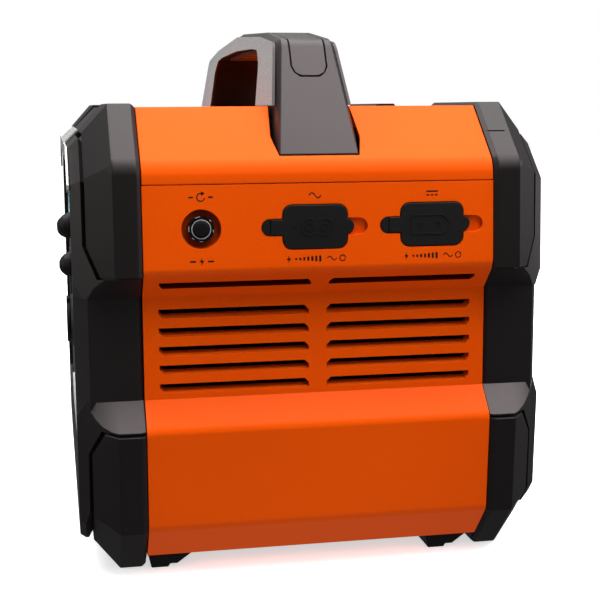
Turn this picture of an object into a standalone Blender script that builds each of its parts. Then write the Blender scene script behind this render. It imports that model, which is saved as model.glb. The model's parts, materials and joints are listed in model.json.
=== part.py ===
"""Portable power station with a carry handle, faceted corner guards and side inlets.

Millimetres in the constants, metres in the scene.  +X is the side with the two inlets,
-Y is the control front, +Z is up.  The constants are measured from the middle of the shell;
main() ends by moving everything so that the origin is the middle of the footprint, on the floor.
"""

import math

import bmesh
import bpy
from mathutils import Matrix, Vector

MM = 0.001
GAP = 0.35                     # clearance between touching pieces

# Body, seen from the front: half profile of the shell as (x, z), top to bottom
CREST = (149.0, 247.5)
SHOULDER = (182.5, 218.0)
WAIST_TOP = (185.0, 164.0)
RECESS_TOP = (171.0, 150.5)
RECESS_LOW = (171.0, 96.5)
WAIST_LOW = (184.0, 82.5)
SKIRT = (180.5, 29.0)
BASE = (162.0, 9.0)
HULL = [CREST, SHOULDER, WAIST_TOP, WAIST_LOW, SKIRT, BASE]
SEAM_Z = 208.5                 # joint between the top cover and the side panels
SHELL_Y = 92.0                 # half width of the orange shell, front to back
SHELL_WALL = 3.0

# Front and rear housings
FLANGE_Y = 92.7                # where a housing starts behind the shell edge
FLANGE_FULL_Y = 94.6           # where its bevelled rim reaches full size
GUARD_Y = 92.4                 # where the corner guards start
CHAMFER_Y = 106.0              # where the corner chamfer starts
FACE_Y = 127.0                 # front and rear faces
CHAMFER = FACE_Y - CHAMFER_Y
# How much of the corner chamfer and of the wall each edge of the profile takes
CHAMFER_SHARES = {
    "front": (1.0, 1.0, 1.0, 1.0, 1.0, 0.74, 0.52),
    "rear": (1.0, 1.0, 1.0, 1.0, 1.0, 0.94, 0.92),
}
WALL_SHARES = (1.0, 1.0, 1.0, 1.0, 1.0, 1.0, 1.35)
FLANGE_SINK = 1.4
HOUSING_WALL = 5.5
LEDGE_REACH = 16.5             # how far the ledges curve into the corner chamfer

# Corner guards
GUARD_PROUD = 1.9              # on the flat strips
GUARD_BEND_LIFT = 1.55         # where they turn into the corner chamfer
GUARD_LIFT = 0.5               # at their end on the chamfer
GUARD_RISE = 2.2               # width of the bevel next to the shell
GUARD_SINK = 2.4
GUARD_GAP = 0.9
GUARD_END_GAP = 2.1
GUARD_REACH = 13.7             # how far a guard runs along the corner chamfer
GUARD_SEAM_Z = 234.0
UPPER_GUARD_LOW_Z = 162.4
UPPER_GUARD_FULL_Z = 178.0
UPPER_GUARD_END_X = 68.0
LOWER_GUARD_TOP_Z = 80.6
LOWER_GUARD_FULL_Z = 67.5
LOWER_GUARD_FLOOR_Z = 0.3
LOWER_GUARD_TOE = (154.6, LOWER_GUARD_FLOOR_Z)
LOWER_GUARD_END_X = 120.0
LOWER_GUARD_AIR = 1.6          # space between a lower guard's sole and the housing above it

# Handle: y half width falls with height; outlines are (x, z)
HANDLE_BASE_Z = 223.2
HANDLE_BASE_HALF_Y = 24.4
HANDLE_LEAN = 0.123
HANDLE_FACET = 3.9
HANDLE_FACE = [(177.0, 223.2), (142.3, 283.0), (92.0, 289.2), (0.0, 293.4)]
HANDLE_SIDE = [(166.3, 232.4), (138.3, 281.4), (90.3, 286.9), (0.0, 291.6)]
WINDOW = [(102.5, 247.2), (97.0, 271.5), (86.0, 279.6), (64.0, 281.2), (0.0, 282.6)]
TENON_OUTER = (174.5, 216.5)
TENON_BEND = (146.5, 241.0)
TRIM_THICK = 1.5
INLAY_HALF_Y = 9.3
INLAY_THICK = 2.2
INLAY_END_Z = 263.5

# Side inlets on the +X panel, as y and z
PORT_Z = 186.3
BREAKER_Y = -62.5
AC_Y = -3.8
DC_Y = 58.5
COVER_SIZE = (33.6, 22.4)
COVER_RADIUS = 4.6
COVER_THICK = 2.0
POCKET_DEPTH = 2.3
STRAP_HEIGHT = 8.0
STRAP_REACH = 27.6             # cover centre to the far end of the strap
HINGE_REACH = 23.4             # cover centre to the fold line of the strap
NUB_REACH = 20.6
SLOT_REACH = 27.8
PORT_WALL = 6.5

# Vents: two columns of slanted slots
VENT_PITCH = 9.85
VENT_FIRST_Z = 144.0
VENT_ROWS = 5
VENT_HEIGHT = 4.7
VENT_INNER_Y = 4.8
VENT_OUTER_Y = 84.0
VENT_CORNER = 2.3              # cut corners of a slot: the inner upper and the outer lower one
VENT_RISE = math.radians(20)
VENT_WALL = 5.0

# Control front
TRIM_LAP_HALF_X = 60.0
PANEL_Y = 124.6                # outer face of the control panel, as a distance from the centre
PANEL_THICK = 3.0
PANEL_HALF_X = 146.0
PANEL_LOW_Z = 40.0
PANEL_HIGH_Z = 214.0
BUTTONS = {                    # name: (x, z)
    "ac_button": (121.0, 184.3),
    "dc_button": (121.0, 162.9),
    "usb_button": (-97.0, 162.9),
    "lamp_button": (-121.0, 162.9),
}
BUTTON_RADIUS = 7.4
DOME_FOOT = 0.4                # straight part of a button above the panel
DOME_RISE = 8.5
DOME_ANGLES = (0.35, 0.7, 1.05, 1.35)
DOME_TOP_Y = PANEL_Y + DOME_FOOT + DOME_RISE * math.sin(DOME_ANGLES[-1])
FOOTPRINT_SHIFT = (DOME_TOP_Y - FACE_Y) / 2
OUTLET_X = 96.0
OUTLET_ZS = (128.0, 99.5)
OUTLET_SIZE = (36.0, 26.0)
DISPLAY_Z = 187.0
DISPLAY_SIZE = (112.0, 44.0)
USB_X = -92.0
USB_Z = 128.0
USB_SPREAD = 12.0              # from the module's middle to the middle of a port
CAR_X = 0.0
CAR_Z = 112.0
CAR_RADIUS = 17.0
JACK_XS = (-112.0, -72.0)
JACK_Z = 88.0
LAMP_SIZE = (120.0, 18.0)
LAMP_Z = 58.0

# Fans behind the right vents
FAN_X = 152.0
FAN_Y = 43.0
FAN_Z = 123.0
FAN_SIZE = 50.0
FAN_DEPTH = 15.0


# ---------------------------------------------------------------- scene and materials

def clear_scene():
    for thing in list(bpy.data.objects):
        bpy.data.objects.remove(thing, do_unlink=True)


def material(name, colour, roughness, metallic=0.0):
    made = bpy.data.materials.new(name)
    made.use_nodes = True
    shader = made.node_tree.nodes["Principled BSDF"]
    shader.inputs["Base Color"].default_value = (*colour, 1.0)
    shader.inputs["Roughness"].default_value = roughness
    shader.inputs["Metallic"].default_value = metallic
    made.diffuse_color = (*colour, 1.0)
    return made


def palette():
    return {
        "shell": material("shell", (0.82, 0.13, 0.008), 0.42),
        "housing": material("housing", (0.028, 0.026, 0.027), 0.55),
        "guard": material("guard", (0.022, 0.020, 0.021), 0.6),
        "trim": material("trim", (0.52, 0.53, 0.51), 0.38, 0.85),
        "grip": material("grip", (0.03, 0.027, 0.027), 0.62),
        "rubber": material("rubber", (0.012, 0.012, 0.013), 0.75),
        "gloss": material("gloss", (0.01, 0.01, 0.012), 0.15),
        "metal": material("metal", (0.6, 0.6, 0.6), 0.3, 1.0),
        "dark_metal": material("dark_metal", (0.1, 0.1, 0.11), 0.35, 1.0),
        "socket": material("socket", (0.05, 0.05, 0.055), 0.5),
        "lens": material("lens", (0.8, 0.82, 0.85), 0.2),
        "board": material("board", (0.02, 0.12, 0.04), 0.5),
        "cell_wrap": material("cell_wrap", (0.05, 0.14, 0.32), 0.45),
        "inner": material("inner", (0.04, 0.04, 0.045), 0.6),
    }


# ---------------------------------------------------------------- mesh building

def finish_mesh(name, bm):
    bmesh.ops.recalc_face_normals(bm, faces=bm.faces)
    mesh = bpy.data.meshes.new(name)
    bm.to_mesh(mesh)
    bm.free()
    return mesh


def loft(rings, name="loft"):
    """Closed solid through rings of equally many (x, y, z) points in millimetres."""
    bm = bmesh.new()
    loops = [[bm.verts.new(Vector(p) * MM) for p in ring] for ring in rings]
    count = len(loops[0])
    for low, high in zip(loops[:-1], loops[1:]):
        for i in range(count):
            j = (i + 1) % count
            bm.faces.new((low[i], low[j], high[j], high[i]))
    bm.faces.new(loops[0])
    bm.faces.new(loops[-1])
    bm.normal_update()
    bmesh.ops.triangulate(bm, faces=[f for f in bm.faces if len(f.verts) > 4])
    return finish_mesh(name, bm)


def on_axis(axis, along, across):
    """Point from a distance along one axis and the two other coordinates in order."""
    u, v = across
    return {"X": (along, u, v), "Y": (u, along, v), "Z": (u, v, along)}[axis]


def prism(outline, axis, low, high):
    return loft([[on_axis(axis, level, p) for p in outline] for level in (low, high)])


def block(low, high):
    outline = [(low[0], low[1]), (high[0], low[1]), (high[0], high[1]), (low[0], high[1])]
    return prism(outline, "Z", low[2], high[2])


def disc(axis, centre, radius, low, high, steps=32, phase=0.0):
    return prism(circle(centre, radius, steps, phase), axis, low, high)


def circle(centre, radius, steps=32, phase=0.0):
    turn = 2 * math.pi / steps
    return [(centre[0] + radius * math.cos(i * turn + phase),
             centre[1] + radius * math.sin(i * turn + phase)) for i in range(steps)]


def turned(axis, centre, profile, steps=32):
    """Solid of revolution: profile is (distance along the axis, radius) pairs."""
    return loft([[on_axis(axis, along, p) for p in circle(centre, radius, steps)]
                 for along, radius in profile])


def joined(meshes):
    bm = bmesh.new()
    for mesh in meshes:
        bm.from_mesh(mesh)
    return finish_mesh("tools", bm)


def mirrored(mesh, sign_x, sign_y):
    mesh.transform(Matrix.Diagonal((sign_x, sign_y, 1.0, 1.0)))
    if sign_x * sign_y < 0:
        mesh.flip_normals()
    return mesh


def rounded_rect(centre, size, radius, steps=4):
    """Rectangle outline with round corners, counter-clockwise."""
    half_u = size[0] / 2 - radius
    half_v = size[1] / 2 - radius
    points = []
    for corner, (su, sv) in enumerate(((1, 1), (-1, 1), (-1, -1), (1, -1))):
        for i in range(steps + 1):
            angle = math.pi / 2 * (corner + i / steps)
            points.append((centre[0] + su * half_u + radius * math.cos(angle),
                           centre[1] + sv * half_v + radius * math.sin(angle)))
    return points


def filleted(chain, radius, steps=4):
    """Open chain with each inner corner rounded by an arc."""
    points = [chain[0]]
    for before, corner, after in zip(chain[:-2], chain[1:-1], chain[2:]):
        corner_v = Vector(corner)
        to_before = (Vector(before) - corner_v).normalized()
        to_after = (Vector(after) - corner_v).normalized()
        half = to_before.angle(to_after) / 2
        reach = radius / math.tan(half)
        centre = corner_v + (to_before + to_after).normalized() * (radius / math.sin(half))
        start = corner_v + to_before * reach - centre
        sweep = math.pi - 2 * half
        turn = 1 if to_before.cross(to_after) < 0 else -1
        for i in range(steps + 1):
            spoke = start.copy()
            spoke.rotate(Matrix.Rotation(turn * sweep * i / steps, 2))
            points.append(tuple(centre + spoke))
    points.append(chain[-1])
    return points


# ---------------------------------------------------------------- objects

PALETTE = {}


def solid(name, mesh, slot, smooth=None):
    mesh.name = name
    made = bpy.data.objects.new(name, mesh)
    mesh.materials.append(PALETTE[slot])
    bpy.context.scene.collection.objects.link(made)
    if smooth is not None:
        mesh.shade_smooth()
        mesh.set_sharp_from_angle(angle=math.radians(smooth))
    return made


def tool(name, mesh):
    made = bpy.data.objects.new(name, mesh)
    bpy.context.scene.collection.objects.link(made)
    made.hide_render = True
    made.display_type = "WIRE"
    return made


def apply_tool(target, mesh, operation, label):
    helper = tool(f"{label}_{target.name}", mesh)
    change = target.modifiers.new(label, "BOOLEAN")
    change.operation = operation
    change.solver = "EXACT"
    change.object = helper


def cut(target, meshes, label="cut"):
    apply_tool(target, joined(meshes), "DIFFERENCE", label)


def fuse(target, meshes, label="add"):
    for number, mesh in enumerate(meshes):
        apply_tool(target, mesh, "UNION", f"{label}{number}")


def hang_on_pivot(piece, pivot_mm):
    """Parent a moving piece to an empty that sits on its joint axis."""
    empty = bpy.data.objects.new(f"pivot_{piece.name}", None)
    empty.location = Vector(pivot_mm) * MM
    bpy.context.scene.collection.objects.link(empty)
    piece.data.transform(Matrix.Translation(-Vector(pivot_mm) * MM))
    piece.parent = empty


# ---------------------------------------------------------------- body profile

def crossing(p, d, q, e):
    """Point where the line p + s*d meets the line q + t*e; q itself if they are one line."""
    det = d[0] * e[1] - d[1] * e[0]
    if abs(det) < 1e-5:
        return q
    s = ((q[0] - p[0]) * e[1] - (q[1] - p[1]) * e[0]) / det
    return (p[0] + s * d[0], p[1] + s * d[1])


def inset_chain(chain, distance):
    """Chain running clockwise round the body, moved inwards with mitred corners.

    The distance is one number, or a list with one number for each edge.
    """
    if isinstance(distance, (int, float)):
        distances = [distance] * (len(chain) - 1)
    else:
        distances = distance
    lines = []
    for (x0, z0), (x1, z1), distance in zip(chain[:-1], chain[1:], distances):
        length = math.hypot(x1 - x0, z1 - z0)
        dx, dz = (x1 - x0) / length, (z1 - z0) / length
        lines.append(((x0 + dz * distance, z0 - dx * distance), (dx, dz)))
    first = lines[0][0]
    (ex, ez), (dx, dz) = lines[-1]
    length = math.hypot(chain[-1][0] - chain[-2][0], chain[-1][1] - chain[-2][1])
    inner = [crossing(*a, *b) for a, b in zip(lines[:-1], lines[1:])]
    return [first, *inner, (ex + dx * length, ez + dz * length)]


def inset_hull(chamfer, wall=0.0, end="front"):
    """The hull corners moved inwards, with the flat top and bottom moved too."""
    chain = [(0.0, CREST[1]), *HULL, (0.0, BASE[1])]
    distances = [chamfer * c + wall * w for c, w in zip(CHAMFER_SHARES[end], WALL_SHARES)]
    return inset_chain(chain, distances)[1:-1]


def housing_section(chamfer, wall=0.0, end="front"):
    """Right half outline of a housing, top to bottom, at a depth of its corner chamfer."""
    crest, shoulder, waist_top, waist_low, skirt, base = inset_hull(chamfer, wall, end)
    along = min(1.0, chamfer / LEDGE_REACH)
    past = max(0.0, chamfer - LEDGE_REACH) / (CHAMFER - LEDGE_REACH)
    rise = 0.42 * wall
    ledge_top = WAIST_TOP[1] - (WAIST_TOP[1] - RECESS_TOP[1]) * along ** 1.4 + 8.4 * past
    ledge_low = WAIST_LOW[1] + (RECESS_LOW[1] - WAIST_LOW[1]) * along ** 2.6 - 8.4 * past
    recess_x = RECESS_TOP[0] - wall - 2.15 * max(0.0, chamfer - 14.0)
    return [
        crest, shoulder,
        (waist_top[0], ledge_top + rise),
        (recess_x, RECESS_TOP[1] + rise),
        (recess_x, RECESS_LOW[1] - rise),
        (waist_low[0], ledge_low - rise),
        skirt, base,
    ]


def whole_ring(half, y):
    """Close a right half outline with its mirror image, at one y."""
    left = [(-x, z) for x, z in reversed(half)]
    return [(x, y, z) for x, z in half + left]


def shell_strip(outer, inner, half_y=SHELL_Y):
    return prism(outer + list(reversed(inner)), "Y", -half_y, half_y)


# ---------------------------------------------------------------- corner guards

def guard_mesh(outer, inner, reaches, proud, lifts, sink, y_start, rise):
    """Guard swept along paths of (x, z); each station has its reach along the chamfer.

    A station's section starts beside the shell, rises to its full height, turns into the
    corner chamfer and ends square to it.
    """
    shift = inset_chain(outer, 1.0)
    half_turn = math.tan(math.pi / 8)
    lean = math.sqrt(0.5)
    rings = []
    for place, (out_p, in_p) in enumerate(zip(outer, inner)):
        reach = reaches[place]
        ux, uz = shift[place][0] - out_p[0], shift[place][1] - out_p[1]
        end_out = reach - lifts[1] * lean + proud
        end_in = reach + sink * lean - sink
        rings.append([
            (out_p[0] + ux * rise * 0.8, y_start, out_p[1] + uz * rise * 0.8),
            (out_p[0], y_start + rise, out_p[1]),
            (out_p[0], CHAMFER_Y - proud + lifts[0] * 2 * lean, out_p[1]),
            (out_p[0] + ux * end_out, CHAMFER_Y + reach + lifts[1] * lean,
             out_p[1] + uz * end_out),
            (in_p[0] + ux * end_in, CHAMFER_Y + reach - sink * lean, in_p[1] + uz * end_in),
            (in_p[0], CHAMFER_Y - half_turn * sink, in_p[1]),
            (in_p[0], y_start, in_p[1]),
        ])
    return loft(rings)


def swept_guard(outer, inner, reaches, clearance):
    """The guard itself, or with a clearance the cutter for its seat in the housing."""
    if clearance:
        proud = GUARD_PROUD + 6.0 * clearance
        lifts = (proud * 0.82, proud * 0.82)
        reaches = [r + GUARD_END_GAP for r in reaches]
        return guard_mesh(outer, inner, reaches, proud, lifts, GUARD_SINK + clearance,
                          GUARD_Y - clearance, 0.0)
    lifts = (GUARD_BEND_LIFT, GUARD_LIFT)
    return guard_mesh(outer, inner, reaches, GUARD_PROUD, lifts, GUARD_SINK, GUARD_Y, GUARD_RISE)


def at_height(z, upper, lower):
    """Point of a straight wall at one height."""
    t = (upper[1] - z) / (upper[1] - lower[1])
    return (upper[0] + (lower[0] - upper[0]) * t, z)


def upper_guard_path(grow=0.0):
    chain = [
        (UPPER_GUARD_END_X - grow, CREST[1]), CREST, SHOULDER,
        at_height(UPPER_GUARD_FULL_Z, SHOULDER, WAIST_TOP),
        at_height(UPPER_GUARD_LOW_Z - grow, SHOULDER, WAIST_TOP),
    ]
    return chain, [GUARD_REACH, GUARD_REACH, GUARD_REACH, GUARD_REACH, GUARD_REACH * 0.52]


def upper_guard(clearance=0.0):
    chain, reaches = upper_guard_path(GUARD_GAP if clearance else 0.0)
    outer = inset_chain(chain, -GUARD_PROUD - 6.0 * clearance)
    inner = inset_chain(chain, GUARD_SINK + clearance)
    return swept_guard(outer, inner, reaches, clearance)


def lower_guard_path(grow=0.0):
    return [
        at_height(LOWER_GUARD_TOP_Z + grow, WAIST_LOW, SKIRT),
        at_height(LOWER_GUARD_FULL_Z, WAIST_LOW, SKIRT),
        SKIRT, LOWER_GUARD_TOE, (LOWER_GUARD_END_X - grow, LOWER_GUARD_FLOOR_Z),
    ]


def lower_guard(clearance=0.0):
    chain = lower_guard_path(GUARD_GAP if clearance else 0.0)
    reaches = [GUARD_REACH * 0.5, *[GUARD_REACH] * 4]
    outer = inset_chain(chain, -GUARD_PROUD - 6.0 * clearance)
    if not clearance:
        outer = outer[:3] + [LOWER_GUARD_TOE, (LOWER_GUARD_END_X, LOWER_GUARD_FLOOR_Z)]
    inner = inset_chain(chain, GUARD_SINK + clearance)[:3]
    roof_z = BASE[1] - LOWER_GUARD_AIR + clearance
    inner += [(LOWER_GUARD_TOE[0] + 4.4, roof_z), (chain[-1][0], roof_z)]
    return swept_guard(outer, inner, reaches, clearance)


def guard_seam():
    """Cutter for the fine seam across a rear upper guard's flat strip."""
    x = at_height(GUARD_SEAM_Z, CREST, SHOULDER)[0] + GUARD_PROUD / 0.66
    low = (x - 0.8, GUARD_Y - 2.0, GUARD_SEAM_Z - 0.25)
    high = (x + 4.0, CHAMFER_Y - 2.5, GUARD_SEAM_Z + 0.25)
    return block(low, high)


SIDES = {"right": 1, "left": -1}
ENDS = {"front": -1, "rear": 1}


def build_guards():
    for end, sign_y in ENDS.items():
        for side, sign_x in SIDES.items():
            guard = solid(f"upper_guard_{end}_{side}", mirrored(upper_guard(), sign_x, sign_y),
                          "guard")
            if end == "rear":
                cut(guard, [mirrored(guard_seam(), sign_x, sign_y)], "seam")
            solid(f"lower_guard_{end}_{side}", mirrored(lower_guard(), sign_x, sign_y), "guard")


# ---------------------------------------------------------------- housings

def build_housing(end):
    sign_y = ENDS[end]
    levels = [
        (FLANGE_Y, inset_section(FLANGE_SINK)),
        (FLANGE_FULL_Y, housing_section(0.0)), (CHAMFER_Y, housing_section(0.0)),
    ]
    levels += [(CHAMFER_Y + c, housing_section(c, 0.0, end))
               for c in (4.0, 8.0, 11.0, 14.0, LEDGE_REACH)]
    levels.append((FACE_Y, housing_section(CHAMFER, 0.0, end)))
    body = mirrored(loft([whole_ring(half, y) for y, half in levels]), 1, sign_y)
    made = solid(f"{end}_housing", body, "housing")
    hollow = [
        (FLANGE_Y - 5.0, housing_section(0.0, HOUSING_WALL)),
        (CHAMFER_Y - 2.3, housing_section(0.0, HOUSING_WALL)),
        (FACE_Y - HOUSING_WALL, housing_section(CHAMFER - 2.3, HOUSING_WALL, end)),
    ]
    cut(made, [mirrored(loft([whole_ring(half, y) for y, half in hollow]), 1, sign_y)], "hollow")
    for side, sign_x in SIDES.items():
        pockets = [mirrored(guard(GAP), sign_x, sign_y) for guard in (upper_guard, lower_guard)]
        cut(made, pockets, f"pockets_{side}")
    return made


def inset_section(sink):
    """Section of the flange, set in from the outer surface all round."""
    return [(x - sink, z + (-sink if i < 2 else 0.0 if i < 6 else sink))
            for i, (x, z) in enumerate(housing_section(0.0))]


def build_front_openings(front):
    """The window of the front housing that holds the control panel."""
    low, high, half = PANEL_LOW_Z, PANEL_HIGH_Z, PANEL_HALF_X
    corner = 14.0
    outline = [(-half, low + corner), (-half + corner, low), (half - corner, low),
               (half, low + corner), (half, high - corner), (half - corner, high),
               (-half + corner, high), (-half, high - corner)]
    cut(front, [prism(outline, "Y", -FACE_Y - 5.0, -FACE_Y + HOUSING_WALL + 4.0)], "window")
    shrink_x, shrink_z = 1 - GAP / half, 1 - 2 * GAP / (high - low)
    middle = (high + low) / 2
    return [(x * shrink_x, middle + (z - middle) * shrink_z) for x, z in outline]


# ---------------------------------------------------------------- shell

def build_top_cover():
    outer = [at_height(SEAM_Z + 0.4, SHOULDER, WAIST_TOP), SHOULDER, CREST]
    outer += [(-x, z) for x, z in reversed(outer)]
    inner = inset_chain(list(reversed(outer)), SHELL_WALL)
    made = solid("top_cover", shell_strip(outer, list(reversed(inner))), "shell")
    cut(made, [mirrored(leg_tool(), sign, 1) for sign in SIDES.values()], "handle_slots")
    return made


def panel_outline():
    """Side panel section: outer face top to bottom, then the inner face back up."""
    wall_top = at_height(SEAM_Z, SHOULDER, WAIST_TOP)
    outer = [wall_top, WAIST_TOP, RECESS_TOP, RECESS_LOW, WAIST_LOW, SKIRT, BASE, (150.0, BASE[1])]
    port_face = at_height(PORT_Z, SHOULDER, WAIST_TOP)[0]
    inner = [
        (wall_top[0] - SHELL_WALL, SEAM_Z), (wall_top[0] - SHELL_WALL, SEAM_Z - 6.0),
        (port_face - PORT_WALL, SEAM_Z - 7.0), (port_face - PORT_WALL, PORT_Z - 17.0),
        (RECESS_TOP[0] - VENT_WALL, RECESS_TOP[1] + 2.0),
        (RECESS_LOW[0] - VENT_WALL, RECESS_LOW[1] - 1.0),
        (WAIST_LOW[0] - SHELL_WALL, WAIST_LOW[1] - 2.0), (SKIRT[0] - SHELL_WALL, SKIRT[1] + 1.2),
        (BASE[0] - 1.3, BASE[1] + SHELL_WALL), (150.0, BASE[1] + SHELL_WALL),
    ]
    return outer, inner


def vent_slot(outline, depth_out, depth_in):
    """Slanted slot cutter: an (x, y, z) outline pushed out and pulled in along the rise."""
    direction = Vector((-math.cos(VENT_RISE), 0.0, math.sin(VENT_RISE)))
    corners = [Vector(p) for p in outline]
    rings = [[tuple(p - direction * depth_out) for p in corners],
             [tuple(p + direction * depth_in) for p in corners]]
    return loft(rings)


def vent_cutters():
    """Five rows in the recess and one on the ledge above, in two mirrored columns."""
    rows = [(VENT_FIRST_Z - i * VENT_PITCH, RECESS_TOP[0], VENT_HEIGHT, 0.0)
            for i in range(VENT_ROWS)]
    ledge_x = RECESS_TOP[0] + 0.62 * (WAIST_TOP[0] - RECESS_TOP[0])
    ledge_z = RECESS_TOP[1] + 0.62 * (WAIST_TOP[1] - RECESS_TOP[1])
    rows.append((ledge_z, ledge_x, 3.4, 3.4))
    cutters = []
    for top_z, x, height, back in rows:
        corner = min(VENT_CORNER, height * 0.55)
        share = corner / height
        for sign in (-1, 1):
            far, near = sign * VENT_OUTER_Y, sign * VENT_INNER_Y
            step = sign * corner
            outline = [
                (x, far, top_z), (x, near + step, top_z),
                (x - back * share, near, top_z - corner), (x - back, near, top_z - height),
                (x - back, far - step, top_z - height),
                (x - back * (1 - share), far, top_z - height + corner),
            ]
            cutters.append(vent_slot(outline, 6.0, 16.0))
    return cutters


def face_x(z):
    """Outer face of the upper side wall at a height."""
    return at_height(z, SHOULDER, WAIST_TOP)[0]


def tab_outline(centre_y, reach, height, toward):
    """Round-ended tab from a cover centre outwards, as (y, z)."""
    radius = height / 2
    end = centre_y + toward * (reach - radius)
    base = math.pi / 2 * (1 - toward)
    arc = [(end + radius * math.cos(base + math.pi * (i / 8 - 0.5)),
            PORT_Z + radius * math.sin(base + math.pi * (i / 8 - 0.5))) for i in range(9)]
    start = centre_y + toward * (COVER_SIZE[0] / 2 - 2.0)
    return [*arc, (start, PORT_Z + toward * radius), (start, PORT_Z - toward * radius)]


def port_pocket(centre_y):
    """Pocket for a cover with its strap on one side and the finger slot on the other."""
    outer = face_x(PORT_Z) + 4.0
    floor = face_x(PORT_Z) - POCKET_DEPTH
    size = (COVER_SIZE[0] + 1.0, COVER_SIZE[1] + 1.0)
    body = rounded_rect((centre_y, PORT_Z), size, COVER_RADIUS + 0.5)
    strap = tab_outline(centre_y, STRAP_REACH + 0.5, STRAP_HEIGHT + 1.0, -1)
    slot = tab_outline(centre_y, SLOT_REACH, STRAP_HEIGHT + 0.6, 1)
    return [prism(shape, "X", floor, outer) for shape in (body, strap, slot)]


def build_side_panel(side):
    outer, inner = panel_outline()
    mesh = mirrored(shell_strip(outer, inner), SIDES[side], 1)
    made = solid(f"side_panel_{side}", mesh, "shell")
    cut(made, [mirrored(cutter, SIDES[side], 1) for cutter in vent_cutters()], "vents")
    return made


def cut_ports(panel):
    through = face_x(PORT_Z) - 12.0
    top = face_x(PORT_Z) + 4.0
    for label, centre_y in (("ac", AC_Y), ("dc", DC_Y)):
        size = INLET_HOLES[label]
        for number, pocket in enumerate(port_pocket(centre_y)):
            cut(panel, [pocket], f"{label}_pocket{number}")
        hole = rounded_rect((centre_y, PORT_Z), size, 2.5, 3)
        cut(panel, [prism(hole, "X", through, top)], f"{label}_hole")
    floor = face_x(PORT_Z) - 3.6
    recess = turned("X", (BREAKER_Y, PORT_Z), [(floor, 9.4), (top - 4.0, 10.2), (top, 10.2)], 40)
    cut(panel, [recess], "breaker_recess")
    cut(panel, [disc("X", (BREAKER_Y, PORT_Z), 6.0, through, top)], "breaker_hole")


def build_bottom_tray():
    inner_x = 149.6
    body = block((-inner_x, -SHELL_Y, BASE[1]), (inner_x, SHELL_Y, BASE[1] + SHELL_WALL))
    made = solid("bottom_tray", body, "housing")
    ribs = [block((-inner_x + 4, y - 1.2, BASE[1] + 1.5), (inner_x - 4, y + 1.2, BASE[1] + 9.0))
            for y in (-80.0, 80.0)]
    fuse(made, ribs, "rib")
    return made


# ---------------------------------------------------------------- feet

FOOT_LENGTH = 46.0
FOOT_X = 134.0
FOOT_REAR_SHIFT = 156.0        # from a front foot to the rear foot of the same shape


def build_feet():
    """Skid feet: a flat pad, a small step and a slanted inner flank."""
    top = BASE[1] - GAP
    profile = [(-91.6, top), (-89.6, 0.0), (-80.4, 0.0), (-79.4, 1.7), (-75.4, 1.7), (-65.6, top)]
    for end, shift in (("front", 0.0), ("rear", FOOT_REAR_SHIFT)):
        outline = [(y + shift, z) for y, z in profile]
        for side, sign_x in SIDES.items():
            centre = FOOT_X * sign_x
            body = prism(outline, "X", centre - FOOT_LENGTH / 2, centre + FOOT_LENGTH / 2)
            solid(f"foot_{end}_{side}", body, "rubber")


# ---------------------------------------------------------------- handle

def handle_half_y(z):
    return HANDLE_BASE_HALF_Y - HANDLE_LEAN * (z - HANDLE_BASE_Z)


def arch(chain, foot, window):
    """Whole arch outline from its right half: outer chain, tenon foot and window, base first."""
    outer = [(-x, z) for x, z in chain[:-1]] + [chain[-1]] + list(reversed(chain[:-1]))
    below = foot + list(window[:-1])
    return outer + below + [window[-1]] + [(-x, z) for x, z in reversed(below)]


def handle_loft(side_outline, face_outline, side_sink=0.0, grow=0.0):
    """Loft through the two side outlines and, between them, the two face outlines."""
    rings = []
    for sign, outline, sink in ((-1, side_outline, side_sink), (-1, face_outline, HANDLE_FACET),
                                (1, face_outline, HANDLE_FACET), (1, side_outline, side_sink)):
        rings.append([(x, sign * (handle_half_y(z) - sink + grow), z) for x, z in outline])
    return loft(rings)


def leg_tool():
    """Cutter for the slot that a handle leg passes through, wider than the leg all round."""
    grow = 0.45
    window_x = WINDOW[0][0] - grow
    face = [(177.0 + grow, 223.0), (154.0 + grow, 262.0), (window_x, 262.0),
            (window_x, 236.0), (144.0, 236.0), (TENON_OUTER[0], TENON_OUTER[1] - 4.0)]
    side = [(166.3 + grow, 232.4), (149.4 + grow, 262.0), (window_x, 262.0),
            (window_x, 236.0), (144.0, 236.0), (159.0, 224.0)]
    return handle_loft(side, face, grow=grow)


def closed_chain(chain):
    """Whole outer chain from the left base over the top to the right base."""
    return [(-x, z) for x, z in chain[:-1]] + [chain[-1]] + list(reversed(chain[:-1]))


def inlay_strip(margin, top, depth):
    """Strip over the grip and down both legs, with rounded lower ends."""
    base, corner = HANDLE_FACE[0], HANDLE_FACE[1]
    ends = [(INLAY_END_Z - margin, 0.5), (INLAY_END_Z + 1.6, 0.83), (INLAY_END_Z + 5.0, 1.0)]
    leg = [at_height(z, corner, base) for z, _ in ends]
    above = [p for p in filleted(HANDLE_FACE, 9.0) if p[1] > INLAY_END_Z + 8.0]
    chain = closed_chain(leg + above)
    shares = [share for _, share in ends] + [1.0] * len(above)
    shares = shares[:-1] + [shares[-1]] + list(reversed(shares[:-1]))
    outer = inset_chain(chain, -top)
    inner = inset_chain(chain, depth)
    rings = []
    for out_p, in_p, share in zip(outer, inner, shares):
        half = INLAY_HALF_Y * share + margin
        rings.append([(out_p[0], -half, out_p[1]), (out_p[0], half, out_p[1]),
                      (in_p[0], half, in_p[1]), (in_p[0], -half, in_p[1])])
    return loft(rings)


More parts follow.
